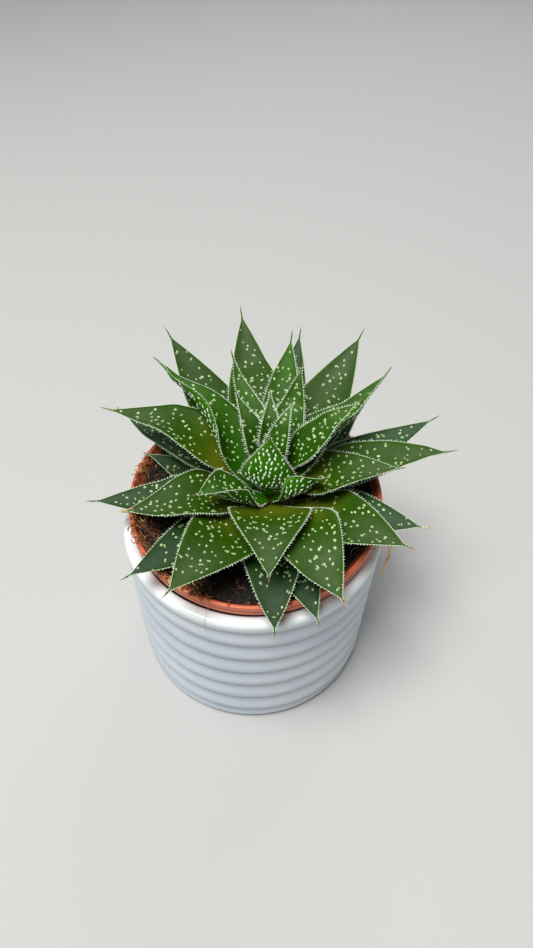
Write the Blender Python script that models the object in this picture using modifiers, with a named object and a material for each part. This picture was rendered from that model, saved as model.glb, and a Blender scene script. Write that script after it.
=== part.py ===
"""Potted lace aloe: a toothed, awned rosette in its growing pot, which stands tilted in a ribbed cachepot.

Metres, +Z up. The origin is the centre of the flat base of the cachepot, and -Y is the front.
"""

import math

import bmesh
import bpy
from mathutils import Matrix, Vector
from mathutils.bvhtree import BVHTree

MM = 0.001
GAP = 0.35 * MM
UP = Vector((0.0, 0.0, 1.0))

# The cachepot: glazed ceramic, widest at its lip, with lapped ribs down its wall.
CACHEPOT_HEIGHT = 89.5 * MM
CACHEPOT_TOP_RADIUS = 62.5 * MM
CACHEPOT_FOOT_RADIUS = 58.8 * MM
CACHEPOT_LIP = 6.6 * MM
CACHEPOT_FLOOR = 5.0 * MM
LIP_ROUND = 2.4 * MM
CACHEPOT_INNER_FOOT_RADIUS = 53.4 * MM
RIB_TOP = 82.7 * MM
RIB_COUNT = 7
RIB_PITCH = 12.4 * MM
RIB_DEPTH = 1.8 * MM
RIB_WAVE = 0.8 * MM
CACHEPOT_SIDES = 48

# The growing pot: thin plastic with a rolled rim, tilted with its back raised.
RIM_RADIUS = 59.3 * MM
RIM_BAND = 5.8 * MM
POT_WALL_RADIUS = 55.7 * MM
POT_FOOT_RADIUS = 40.0 * MM
POT_DEPTH = 94.0 * MM
POT_WALL = 1.6 * MM
POT_SIDES = 40
RIM_CENTRE = (1.0 * MM, 0.0, 105.3 * MM)
POT_TILT = 7.7
POT_LEAN = 1.0
DRAIN_HOLES = 4
DRAIN_RADIUS = 4.0 * MM
DRAIN_RING = 22.0 * MM

# The soil fills the growing pot to a little below its rim and lies dished round the stem. The plant stands off
# its centre, on a short stem whose head is a crown of fused leaf sheaths.
SOIL_DROP = 8.0 * MM
SOIL_EDGE_DROP = 3.6 * MM
PLANT_OFFSET = 7.0 * MM
STEM_FOOT_RADIUS = 6.0 * MM
STEM_ROOT = 14.0 * MM
CROWN_RADIUS = 12.0 * MM
CROWN_TOP_RADIUS = 5.0 * MM
CROWN_TOP = 16.5 * MM

# Leaves stand off the crown in a climbing spiral, a step apart.
FIRST_LEAF = 1.5 * MM
LEAF_STEP = 0.45 * MM
ROOT_GAP = 1.2 * MM
KNEE = 0.5

# A blade's outline, as shares of its length and of its greatest width.
BASE_WIDTH = 0.22
TAPER = 1.4
AWN = 0.07
AWN_WIDTH = 0.9 * MM
SPAN = 8.0 * MM
TOOTH_LENGTH = 1.4 * MM
TOOTH_ROOT = 0.64
TOOTH_TIP = 0.82
CHEEK = 0.55

# Leaves rest on those below them: how finely that is tested, how near a surface counts, and how they ease off.
FINE = 6
SIDES = (-1.1, -1.0, -0.9, -0.75, -0.55, -0.35, -0.15, 0.0, 0.15, 0.35, 0.55, 0.75, 0.9, 1.0, 1.1)
LOOK_DOWN = 9.0 * MM
LOOK_UP = 24.0 * MM
LEAF_GAP = 0.6 * MM
BEND_SLOPE = 0.35
LOWER_LEAVES = 12
SPREADING_LEAVES = 23

# Each leaf from the lowest to the heart: where its tip lies round the plant (0 is right, -90 is front), how far
# out and how high that is, how it rises at its root, its width, where it is widest in hundredths, its roll, how
# far its root is turned round the crown, and how deep its channel is in hundredths of its half width.
LEAVES = [
    (160, 67, 3, 2, 18, 40, 0, 0, 20),
    (-73, 72, 12, 10, 21, 42, 0, 0, 20),
    (-88, 75, 14, 12, 25, 42, 0, 0, 20),
    (-141, 80, 15, 12, 24, 42, 0, 0, 20),
    (-18, 74, 15, 12, 25, 42, 0, 0, 20),
    (-174, 85, 13, 8, 23, 42, 0, 0, 20),
    (144, 85, 13, 2, 18, 42, 0, 0, 20),
    (52, 84, 15, 6, 22, 40, 0, 0, 20),
    (108, 75, 14, 6, 23, 42, 0, 0, 20),
    (80, 84, 39, 21, 20, 40, 0, 0, 20),
    (151, 89, 21, 2, 22, 40, 4, 0, 20),
    (24, 89, 24, 8, 23, 40, -4, 0, 20),
    (-36, 73, 30, 25, 31, 38, 0, 0, 22),
    (-122, 78, 30, 24, 33, 38, 0, 0, 22),
    (-66, 75, 29, 24, 33, 38, 0, 0, 22),
    (-162, 70, 23, 16, 28, 38, 8, 0, 22),
    (12, 90, 19, 5, 25, 38, -6, 0, 22),
    (58, 85, 47, 24, 29, 38, 0, 0, 22),
    (128, 84, 52, 27, 27, 38, 0, 0, 22),
    (101, 84, 52, 25, 27, 38, 0, 0, 22),
    (-90, 60, 32, 28, 35, 30, 0, 0, 22),
    (158, 88, 28, 5, 27, 36, 12, 0, 30),
    (1, 61, 26, 8, 26, 34, -10, 0, 30),
    (-148, 39, 34, 10, 23, 52, 25, 48, 62),
    (-29, 28, 38, 4, 17, 44, -58, -57, 45),
    (82, 70, 48, 26, 18, 34, 0, 0, 24),
    (138, 75, 47, 21, 24, 34, 44, 70, 60),
    (38, 70, 49, 24, 21, 34, -28, -35, 55),
    (70, 41, 56, 43, 18, 30, 0, 0, 24),
    (112, 50, 56, 36, 13, 30, 8, 0, 24),
    (26, 44, 52, 36, 16, 36, 0, 0, 20),
    (-100, 0, 52, 80, 25, 34, 0, 0, 25),
    (124, 28, 54, 52, 12, 30, 0, 0, 20),
    (91, 28, 48, 49, 10, 30, 0, 0, 20),
    (63, 25, 43, 48, 11, 30, 0, 0, 20),
    (195, 5, 42, 80, 5, 30, 0, 0, 20),
]


def clear_scene():
    for item in list(bpy.data.objects):
        bpy.data.objects.remove(item, do_unlink=True)


def new_collection(name, hidden=False):
    group = bpy.data.collections.new(name)
    group.hide_render = hidden
    bpy.context.scene.collection.children.link(group)
    return group


def make_material(name, colour, roughness, coat=0.0):
    material = bpy.data.materials.new(name)
    material.use_nodes = True
    shader = material.node_tree.nodes["Principled BSDF"]
    shader.inputs["Base Color"].default_value = (*colour, 1.0)
    shader.inputs["Roughness"].default_value = roughness
    shader.inputs["Metallic"].default_value = 0.0
    shader.inputs["Coat Weight"].default_value = coat
    material.diffuse_color = (*colour, 1.0)
    return material


def mesh_object(name, mesh, group, material=None, parent=None):
    item = bpy.data.objects.new(name, mesh)
    group.objects.link(item)
    if material:
        mesh.materials.append(material)
    item.parent = parent
    return item


def turned_mesh(name, profile, sides):
    """The mesh of a profile of (radius, height) points turned about Z, with its points on the axis welded."""
    outline = bpy.data.meshes.new(name + "_profile")
    outline.from_pydata([(r, 0.0, z) for r, z in profile], [(i, i + 1) for i in range(len(profile) - 1)], [])
    guide = bpy.data.objects.new(name + "_guide", outline)
    bpy.context.scene.collection.objects.link(guide)
    screw = guide.modifiers.new("Turn", "SCREW")
    screw.steps = sides
    screw.render_steps = sides
    screw.use_merge_vertices = True
    screw.merge_threshold = 0.00001
    graph = bpy.context.evaluated_depsgraph_get()
    turned = bpy.data.meshes.new_from_object(guide.evaluated_get(graph))
    turned.name = name
    bpy.data.objects.remove(guide, do_unlink=True)
    return turned


def shade_round(mesh, angle=40.0):
    mesh.shade_smooth()
    mesh.set_sharp_from_angle(angle=math.radians(angle))


def rib_swell(height):
    """How far a rib stands out of the wall: it swells slowly downwards and turns in sharply at its foot."""
    down = (RIB_TOP - height) / RIB_PITCH
    if down <= 0.0 or down >= RIB_COUNT - 0.4:
        return 0.0
    share = down % 1.0
    return RIB_DEPTH * math.sin(math.pi * share**1.7) ** 0.9


def cachepot_profile():
    slope = (CACHEPOT_TOP_RADIUS - RIB_DEPTH * 0.5 - CACHEPOT_FOOT_RADIUS) / CACHEPOT_HEIGHT
    middle = CACHEPOT_TOP_RADIUS - CACHEPOT_LIP / 2
    outer = [(middle, CACHEPOT_HEIGHT)]
    for turn in (75, 45, 15, 0):
        across = math.cos(math.radians(turn))
        up = math.sin(math.radians(turn))
        outer.append((CACHEPOT_TOP_RADIUS - LIP_ROUND * (1 - across), CACHEPOT_HEIGHT - LIP_ROUND * (1 - up)))
    outer.append((CACHEPOT_TOP_RADIUS - 0.1 * MM, RIB_TOP + 2.0 * MM))
    for rib in range(RIB_COUNT):
        for share in (0.0, 0.3, 0.55, 0.8):
            height = RIB_TOP - (rib + share) * RIB_PITCH
            if height > 4.0 * MM:
                wall = CACHEPOT_FOOT_RADIUS + slope * height - RIB_DEPTH * 0.5
                outer.append((wall + rib_swell(height), height))
    foot = [(CACHEPOT_FOOT_RADIUS - 0.4 * MM, 1.6 * MM), (CACHEPOT_FOOT_RADIUS - 1.8 * MM, 0.0), (0.0, 0.0)]
    lip_inside = CACHEPOT_TOP_RADIUS - CACHEPOT_LIP
    inner = [
        (0.0, CACHEPOT_FLOOR),
        (CACHEPOT_INNER_FOOT_RADIUS - 5.0 * MM, CACHEPOT_FLOOR),
        (CACHEPOT_INNER_FOOT_RADIUS - 1.2 * MM, CACHEPOT_FLOOR + 1.6 * MM),
        (CACHEPOT_INNER_FOOT_RADIUS, CACHEPOT_FLOOR + 6.0 * MM),
        (lip_inside, CACHEPOT_HEIGHT - LIP_ROUND),
        (lip_inside + 0.3 * LIP_ROUND, CACHEPOT_HEIGHT - 0.3 * LIP_ROUND),
        (lip_inside + LIP_ROUND, CACHEPOT_HEIGHT - 0.1 * MM),
        (middle, CACHEPOT_HEIGHT),
    ]
    return outer + foot + inner


def wave_ribs(mesh):
    """Lets the ribs wander a little round the wall, as thrown ones do, and leaves the lip, base and inside."""
    for vertex in mesh.vertices:
        x, y, z = vertex.co
        radius = math.hypot(x, y)
        if radius < CACHEPOT_FOOT_RADIUS - 1.0 * MM or not 4.0 * MM < z < RIB_TOP + 1.0 * MM:
            continue
        turn = math.atan2(y, x)
        fade = min(1.0, (z - 4.0 * MM) / (10.0 * MM), (RIB_TOP + 1.0 * MM - z) / (8.0 * MM))
        wander = math.sin(turn + z * 60.0) + 0.6 * math.sin(2.0 * turn - z * 95.0 + 1.0)
        vertex.co.z = z + RIB_WAVE * fade * wander


def build_cachepot(group, material):
    mesh = turned_mesh("cachepot", cachepot_profile(), CACHEPOT_SIDES)
    wave_ribs(mesh)
    shade_round(mesh)
    return mesh_object("cachepot", mesh, group, material)


def add_boolean(target, cutter):
    cut = target.modifiers.new("Cut " + cutter.name, "BOOLEAN")
    cut.operation = "DIFFERENCE"
    cut.solver = "EXACT"
    cut.object = cutter


def peg(name, radius, top, bottom, place, parent, cutters, sides):
    """A plain vertical cutter from the height top down to bottom."""
    mesh = bpy.data.meshes.new(name)
    shape = bmesh.new()
    bmesh.ops.create_cone(shape, cap_ends=True, segments=sides, radius1=radius, radius2=radius,
                          depth=top - bottom)
    bmesh.ops.translate(shape, verts=shape.verts, vec=(place[0], place[1], (top + bottom) / 2))
    shape.to_mesh(mesh)
    shape.free()
    cutter = mesh_object(name, mesh, cutters, parent=parent)
    cutter.hide_render = True
    cutter.display_type = "WIRE"
    return cutter


def build_growing_pot(group, cutters, material, tilted):
    """In the tilted frame, whose origin is the centre of the rim's top."""
    rolled = 0.8 * MM
    profile = [
        (RIM_RADIUS - 2 * rolled, 0.0),
        (RIM_RADIUS - rolled / 2, -0.1 * MM),
        (RIM_RADIUS, -rolled),
        (RIM_RADIUS - 0.1 * MM, -RIM_BAND),
        (RIM_RADIUS - 1.0 * MM, -RIM_BAND - 0.3 * MM),
        (POT_WALL_RADIUS, -RIM_BAND - 0.3 * MM),
        (POT_FOOT_RADIUS, -POT_DEPTH + 1.0 * MM),
        (POT_FOOT_RADIUS - 1.0 * MM, -POT_DEPTH),
        (0.0, -POT_DEPTH),
        (0.0, -POT_DEPTH + POT_WALL),
        (POT_FOOT_RADIUS - POT_WALL, -POT_DEPTH + POT_WALL),
        (POT_WALL_RADIUS - POT_WALL, -RIM_BAND),
        (RIM_RADIUS - 2 * rolled - 0.5 * MM, -rolled),
        (RIM_RADIUS - 2 * rolled, 0.0),
    ]
    mesh = turned_mesh("nursery_pot", profile, POT_SIDES)
    shade_round(mesh)
    pot = mesh_object("nursery_pot", mesh, group, material, tilted)
    for hole in range(DRAIN_HOLES):
        turn = 2 * math.pi * (hole + 0.5) / DRAIN_HOLES
        place = (DRAIN_RING * math.cos(turn), DRAIN_RING * math.sin(turn))
        cutter = peg(f"drain_cutter_{hole + 1}", DRAIN_RADIUS, -POT_DEPTH + 2 * POT_WALL, -POT_DEPTH - POT_WALL,
                     place, tilted, cutters, 10)
        add_boolean(pot, cutter)
    return pot


def build_soil(group, cutters, material, tilted):
    """Peat up to SOIL_DROP under the rim, heaped a little towards the stem, with a plain hole for the stem."""
    taper = (POT_WALL_RADIUS - POT_FOOT_RADIUS) / (POT_DEPTH - RIM_BAND)
    edge = POT_WALL_RADIUS - POT_WALL - 1.5 * GAP - taper * SOIL_EDGE_DROP
    dish = SOIL_DROP - SOIL_EDGE_DROP
    profile = [(0.0, -SOIL_DROP)]
    for share in (0.25, 0.5, 0.7, 0.85, 1.0):
        profile.append((edge * share, -SOIL_DROP + dish * share**3))
    profile.append((POT_FOOT_RADIUS - POT_WALL - 2 * GAP, -POT_DEPTH + POT_WALL + 2 * GAP))
    profile.append((0.0, -POT_DEPTH + POT_WALL + 2 * GAP))
    mesh = turned_mesh("soil", profile, 36)
    for vertex in mesh.vertices:
        x, y, z = vertex.co
        radius = math.hypot(x, y)
        if z > -SOIL_DROP - MM and edge * 0.4 < radius < edge * 0.95:
            vertex.co.z += 0.5 * MM * math.sin(4 * math.atan2(y, x) + radius * 300.0)
    shade_round(mesh)
    soil = mesh_object("soil", mesh, group, material, tilted)
    cutter = peg("stem_hole_cutter", STEM_FOOT_RADIUS + GAP, 5 * MM, -SOIL_DROP - STEM_ROOT - GAP,
                 (PLANT_OFFSET, 0.0), tilted, cutters, 16)
    add_boolean(soil, cutter)
    return soil


def build_stem(group, material, plant):
    """In the plant's frame, whose origin is where its axis meets the soil."""
    profile = [
        (0.0, CROWN_TOP),
        (CROWN_TOP_RADIUS, CROWN_TOP - 0.6 * MM),
        (CROWN_RADIUS, 1.6 * MM),
        (CROWN_RADIUS - 0.6 * MM, 0.8 * MM),
        (STEM_FOOT_RADIUS, 0.4 * MM),
        (STEM_FOOT_RADIUS - 1.0 * MM, -STEM_ROOT),
        (0.0, -STEM_ROOT),
    ]
    mesh = turned_mesh("stem", profile, 16)
    shade_round(mesh)
    return mesh_object("stem", mesh, group, material, plant)


def compass(azimuth):
    """The level direction at an angle round the plant."""
    turn = math.radians(azimuth)
    return Vector((math.cos(turn), math.sin(turn), 0.0))


def crown_radius(height):
    """The crown's radius at a height over the soil."""
    if height > CROWN_TOP:
        return CROWN_TOP_RADIUS * 0.3
    return CROWN_RADIUS + (CROWN_TOP_RADIUS - CROWN_RADIUS) * height / CROWN_TOP


def blade_share(share, shoulder):
    """The blade's width at a share of its length, as a share of its greatest width."""
    if share < shoulder:
        return BASE_WIDTH + (1.0 - BASE_WIDTH) * math.sin(share / shoulder * math.pi / 2) ** 1.4
    left = max(0.0, (1.0 - share - AWN) / (1.0 - shoulder - AWN))
    return 1.0 - (1.0 - left) ** TAPER


def blade_thickness(share, length):
    """Thin where it clasps the crown, fleshy in its lower half, and thin again at the awn."""
    full = 1.3 * MM + 0.028 * length
    swell = math.sin(math.pi * min(1.0, share * 1.2 + 0.05))
    return max(0.8 * MM, full * (0.25 + 0.75 * max(0.0, swell)) * min(1.0, (1.02 - share) * 2.2))


def midrib(leaf, rank, steps):
    """Frames along the midrib: (point, along, across, lift), in the plant's frame."""
    azimuth, reach, height, rise, _, _, roll, root_turn, _ = leaf
    level = FIRST_LEAF + LEAF_STEP * (rank - 1)
    root = compass(azimuth + root_turn) * (crown_radius(level) + ROOT_GAP) + UP * level
    tip = compass(azimuth) * reach * MM + UP * height * MM
    out = Vector((tip.x - root.x, tip.y - root.y, 0.0)).normalized()
    if out.dot(compass(azimuth)) < 0.0:
        out.negate()
    across = UP.cross(out)
    slope = math.radians(rise)
    knee = root + (out * math.cos(slope) + UP * math.sin(slope)) * (tip - root).length * KNEE
    frames = []
    for step in range(steps + 1):
        share = step / steps
        place = root.lerp(knee, share).lerp(knee.lerp(tip, share), share)
        along = (knee - root).lerp(tip - knee, share).normalized()
        spin = Matrix.Rotation(math.radians(roll * min(1.0, 2.0 * share)), 3, along)
        frames.append((place, along, spin @ across, spin @ along.cross(across)))
    return frames


def underside(side, hollow, thick):
    """The height of the blade's underside at a share of its half width: a keel between two flat cheeks."""
    cheek = hollow * 0.4 - thick * 0.75
    if abs(side) < CHEEK:
        return -thick + (cheek + thick) * abs(side) / CHEEK
    share = (abs(side) - CHEEK) / (1.0 - CHEEK)
    return cheek + (hollow - cheek) * share


def section(frame, half, hollow, thick):
    """Eight points round the blade: margin, three across its hollow upper side, margin, three below."""
    place, _, across, lift = frame
    shape = [
        (1.0, hollow),
        (0.5, hollow * 0.3),
        (0.0, 0.0),
        (-0.5, hollow * 0.3),
        (-1.0, hollow),
        (-CHEEK, underside(CHEEK, hollow, thick)),
        (0.0, -thick),
        (CHEEK, underside(CHEEK, hollow, thick)),
    ]
    return [place + across * (side * half) + lift * rise for side, rise in shape]


def height_over(below, point, push, look_up):
    """How far the surfaces below stand over a point, looking the way it is pushed, or None if none is near."""
    start = point - push * LOOK_DOWN
    reach = LOOK_DOWN + look_up
    highest = None
    travelled = 0.0
    while travelled < reach:
        hit, _, _, distance = below.ray_cast(start + push * travelled, push, reach - travelled)
        if hit is None:
            break
        travelled += distance + 0.01 * MM
        highest = travelled - LOOK_DOWN
    return highest


def bend_clear(frames, halves, hollows, thicks, below, spacing):
    """Pushes a leaf up and in just clear of what lies under it, easing off along its length."""
    needed = []
    pushes = []
    for step, (frame, half, hollow, thick) in enumerate(zip(frames, halves, hollows, thicks)):
        place, _, across, lift = frame
        push = (UP + lift * min(1.0, 3.0 * step / len(frames))).normalized()
        pushes.append(push)
        inward = Vector((-place.x, -place.y, 0.0))
        closing = push.dot(inward.normalized())
        look_up = LOOK_UP if closing <= 0.0 else min(LOOK_UP, inward.length / closing)
        most = 0.0
        for side in SIDES:
            inside = max(-1.0, min(1.0, side))
            spread = side * half if abs(side) <= 1.0 else inside * (half + TOOTH_LENGTH)
            point = place + across * spread + lift * underside(inside, hollow, thick)
            over = height_over(below, point, push, look_up)
            if over is not None:
                most = max(most, over + LEAF_GAP)
        needed.append(most)
    moved = []
    for here, frame in enumerate(frames):
        place, along, across, lift = frame
        rise = max(need - BEND_SLOPE * spacing * max(0, abs(here - there) - FINE)
                   for there, need in enumerate(needed))
        moved.append((place + pushes[here] * max(0.0, rise), along, across, lift))
    return moved


def leaf_mesh(name, leaf, rank, below):
    length = math.hypot(leaf[1], leaf[2]) * MM
    widest = leaf[4] * MM
    shoulder = leaf[5] / 100
    cup = leaf[8] / 100
    spans = max(5, round(length / SPAN))
    frames = midrib(leaf, rank, spans * FINE)
    shares = [step / (spans * FINE) for step in range(len(frames))]
    halves = [max(AWN_WIDTH, widest * blade_share(share, shoulder)) / 2 for share in shares]
    hollows = [cup * half * min(1.0, share / shoulder) for half, share in zip(halves, shares)]
    thicks = [blade_thickness(share, length) for share in shares]
    frames = bend_clear(frames, halves, hollows, thicks, below, length / (spans * FINE))
    shape = bmesh.new()
    rings = []
    for step in range(0, len(frames) - 1, FINE):
        ring = section(frames[step], halves[step], hollows[step], thicks[step])
        rings.append([shape.verts.new(point) for point in ring])
    tip = shape.verts.new(frames[-1][0])
    for step in range(len(rings) - 1):
        near = rings[step]
        far = rings[step + 1]
        for column in (1, 2, 5, 6):
            beside = column + 1
            shape.faces.new((near[column], near[beside], far[beside]))
            shape.faces.new((near[column], far[beside], far[column]))
        for margin, over, under in ((0, 1, 7), (4, 3, 5)):
            tooth_span(shape, near, far, margin, over, under, frames[step * FINE], step / spans)
    for column in range(8):
        shape.faces.new((rings[-1][column], rings[-1][(column + 1) % 8], tip))
    for first, second, third in ((0, 1, 7), (1, 2, 7), (2, 6, 7), (2, 3, 6), (3, 5, 6), (3, 4, 5)):
        shape.faces.new((rings[0][first], rings[0][third], rings[0][second]))
    bmesh.ops.recalc_face_normals(shape, faces=shape.faces)
    mesh = bpy.data.meshes.new(name)
    shape.to_mesh(mesh)
    shape.free()
    shade_round(mesh, 50.0)
    return mesh


def tooth_span(shape, near, far, margin, over, under, frame, share):
    """One span of a margin with its tooth, which leans forward; both faces are split alike."""
    start = near[margin].co
    end = far[margin].co
    outward = frame[2] if margin == 0 else -frame[2]
    root = shape.verts.new(start.lerp(end, TOOTH_ROOT))
    length = TOOTH_LENGTH * min(1.0, 0.5 + 2.5 * share) * (1.0 if share < 0.75 else 0.7)
    point = shape.verts.new(start.lerp(end, TOOTH_TIP) + outward * length)
    for inner in (over, under):
        shape.faces.new((near[inner], near[margin], root))
        shape.faces.new((near[inner], root, point))
        shape.faces.new((near[inner], point, far[inner]))
        shape.faces.new((far[inner], point, far[margin]))


def add_surface(points, faces, mesh, shift=None):
    """Adds a mesh's faces to the lists that the leaves above are laid on."""
    start = len(points)
    for vertex in mesh.vertices:
        points.append(vertex.co + shift if shift else vertex.co.copy())
    for face in mesh.polygons:
        faces.append([start + corner for corner in face.vertices])


def build_leaves(group, materials, plant, ground):
    """Lays the leaves on one another, from the lowest to the heart, over the soil and the rim."""
    points = []
    faces = []
    for mesh in ground:
        add_surface(points, faces, mesh, Vector((-PLANT_OFFSET, 0.0, SOIL_DROP)))
    for rank, leaf in enumerate(LEAVES, start=1):
        name = f"leaf_{rank:02d}"
        tier = 0 if rank <= LOWER_LEAVES else 1 if rank <= SPREADING_LEAVES else 2
        mesh = leaf_mesh(name, leaf, rank, BVHTree.FromPolygons(points, faces))
        add_surface(points, faces, mesh)
        mesh_object(name, mesh, group, materials[tier], plant)


def frame_empty(name, group, place, turn=(0.0, 0.0, 0.0), parent=None):
    empty = bpy.data.objects.new(name, None)
    group.objects.link(empty)
    empty.location = place
    empty.rotation_euler = [math.radians(angle) for angle in turn]
    empty.parent = parent
    return empty


def main():
    clear_scene()
    parts = new_collection("potted_lace_aloe")
    cutters = new_collection("cutters", hidden=True)
    glaze = make_material("white_glaze", (0.50, 0.55, 0.62), 0.25, coat=0.3)
    plastic = make_material("terracotta_plastic", (0.55, 0.16, 0.07), 0.4)
    peat = make_material("peat", (0.035, 0.022, 0.014), 0.95)
    stem_skin = make_material("stem_skin", (0.20, 0.30, 0.07), 0.6)
    greens = [
        make_material("leaf_lower", (0.022, 0.065, 0.030), 0.45),
        make_material("leaf_spreading", (0.035, 0.105, 0.022), 0.42),
        make_material("leaf_inner", (0.040, 0.170, 0.020), 0.40),
    ]
    build_cachepot(parts, glaze)
    tilted = frame_empty("pot_tilt", parts, RIM_CENTRE, (POT_TILT, -POT_LEAN, 0.0))
    pot = build_growing_pot(parts, cutters, plastic, tilted)
    soil = build_soil(parts, cutters, peat, tilted)
    plant = frame_empty("plant_axis", parts, (PLANT_OFFSET, 0.0, -SOIL_DROP), parent=tilted)
    build_stem(parts, stem_skin, plant)
    build_leaves(parts, greens, plant, [pot.data, soil.data])


main()
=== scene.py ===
"""The looks of a potted lace aloe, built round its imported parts.

Each section below is one piece or group, in the order in which the real thing is put together: the glazed
cachepot, the plastic growing pot, the soil with its crumbs and fibres, the plant's crown, then the leaves
from the lowest to the heart, and last the studio. Metres, +Z up, and -Y is the front.
"""

import math
import random

import bpy
import numpy as np
from mathutils import Matrix, Vector, noise
from mathutils.bvhtree import BVHTree


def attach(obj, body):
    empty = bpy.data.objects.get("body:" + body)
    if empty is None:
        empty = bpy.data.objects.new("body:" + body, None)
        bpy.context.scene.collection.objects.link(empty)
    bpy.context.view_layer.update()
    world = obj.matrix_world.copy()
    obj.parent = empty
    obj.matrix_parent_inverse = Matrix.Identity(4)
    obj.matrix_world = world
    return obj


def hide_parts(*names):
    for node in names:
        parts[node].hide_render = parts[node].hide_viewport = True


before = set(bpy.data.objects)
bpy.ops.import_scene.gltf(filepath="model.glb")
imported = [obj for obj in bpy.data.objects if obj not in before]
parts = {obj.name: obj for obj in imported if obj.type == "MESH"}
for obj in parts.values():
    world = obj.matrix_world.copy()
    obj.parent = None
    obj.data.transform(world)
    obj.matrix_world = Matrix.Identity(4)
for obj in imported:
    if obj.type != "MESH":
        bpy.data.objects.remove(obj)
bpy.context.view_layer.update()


# The cachepot is thrown stoneware under a thick white glaze. Its wall is turned into soft lapped ribs, which
# wander a little. A painted highlight whitens the rounded lip, and painted shade greys the grooves and the
# turned-in foot of each rib.
MM = 0.001
POT_HEIGHT = 89.5 * MM
POT_TOP_RADIUS = 62.5 * MM
POT_FOOT_RADIUS = 58.8 * MM
POT_LIP = 6.6 * MM
POT_FLOOR = 5.0 * MM
POT_SIDES = 160
LIP_ROUND = 2.4 * MM
INNER_FOOT_RADIUS = 53.4 * MM
RIB_TOP = 82.7 * MM
RIB_FOOT = 3.4 * MM
RIB_COUNT = 7
RIBS_END = RIB_COUNT - 0.4
RIB_PITCH = 12.4 * MM
RIB_DEPTH = 1.8 * MM
RIB_LAP = 1.7
RIB_FULLNESS = 0.9
RIB_STEP = 0.775 * MM
RIB_WAVE = 0.8 * MM
WANDER_FOOT = 4.0 * MM
WANDER_TOP = RIB_TOP + 1.0 * MM
GLAZE_TONES = ((196, 206, 217), (208, 216, 224))
# Painted highlight: the whiter tone of the rounded lip, and the heights where it starts and where it is
# full.
LIP_HIGHLIGHT_TONE = (226, 233, 234)
LIP_HIGHLIGHT_FROM = 84.5 * MM
LIP_HIGHLIGHT_FULL = 88.5 * MM
# Painted shade: the grey laid in the grooves and down the lower part of each rib.
RIB_SHADE_TONE = (122, 132, 147)


class Shape:
    """Points and faces that become one mesh: a place (u, v) for each point, and a finish for each face."""

    def __init__(self):
        self.points = []
        self.places = []
        self.faces = []
        self.slots = []

    def add(self, points, faces, places=None, slots=0):
        """Adds a closed form. Its slots are one finish for all its faces, or a list with one for each."""
        start = len(self.points)
        self.points.extend(points)
        self.places.extend(places or [(0.5, 0.5)] * len(points))
        self.faces.extend([tuple(start + corner for corner in face) for face in faces])
        self.slots.extend(slots if isinstance(slots, list) else [slots] * len(faces))


def show(name, shape, finishes, slot, *stands_for, smooth=True):
    """Puts a piece in the scene, riding on the frame. The record's material slot that it is given is not
    used.
    """
    mesh = bpy.data.meshes.new(name)
    mesh.from_pydata([tuple(point) for point in shape.points], [], shape.faces)
    for finish in finishes:
        mesh.materials.append(finish)
    mesh.polygons.foreach_set("material_index", shape.slots)
    corners = np.empty(len(mesh.loops), np.int32)
    mesh.loops.foreach_get("vertex_index", corners)
    layer = mesh.uv_layers.new(name="place")
    layer.data.foreach_set("uv", np.array(shape.places, np.float32)[corners].reshape(-1))
    if smooth:
        mesh.shade_smooth()
    mesh.update()
    item = bpy.data.objects.new(name, mesh)
    bpy.context.scene.collection.objects.link(item)
    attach(item, "root")
    if stands_for:
        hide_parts(*stands_for)


def turned(profile, sides, place, rows=None):
    """A closed profile of (radius, height) points, turned about Z and put in place. Axis points are welded.

    A point's v is its share of the profile, or what rows gives for its row.
    """
    rings = []
    points = []
    places = []
    for row, (radius, height) in enumerate(profile):
        count = 1 if radius < 1e-7 else sides
        rings.append((len(points), count))
        for side in range(count):
            turn = 2 * math.pi * side / sides
            points.append(place(radius * math.cos(turn), radius * math.sin(turn), height))
            places.append((side / sides, rows[row] if rows else row / len(profile)))
    faces = []
    for row in range(len(profile)):
        near, many = rings[row]
        far, others = rings[(row + 1) % len(profile)]
        if many == 1 and others == 1:
            continue
        for side in range(sides):
            after = (side + 1) % sides
            if many == 1:
                faces.append((near, far + side, far + after))
            elif others == 1:
                faces.append((near + after, near + side, far))
            else:
                faces.append((near + after, near + side, far + side, far + after))
    shape = Shape()
    shape.add(points, faces, places)
    return shape


def rounded_edge(radius, top, size, turns, outward=1.0):
    """Points of a profile where an edge is rounded off, at turns given in degrees up from level."""
    points = []
    for turn in turns:
        across = math.cos(math.radians(turn))
        up = math.sin(math.radians(turn))
        points.append((radius - outward * size * (1 - across), top - size * (1 - up)))
    return points


def rib_swell(height):
    """How far the wall swells out at a height. A rib is fullest two thirds down, and laps the next."""
    down = (RIB_TOP - height) / RIB_PITCH
    if down <= 0.0 or down >= RIBS_END:
        return 0.0
    return RIB_DEPTH * math.sin(math.pi * (down % 1.0) ** RIB_LAP) ** RIB_FULLNESS


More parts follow.
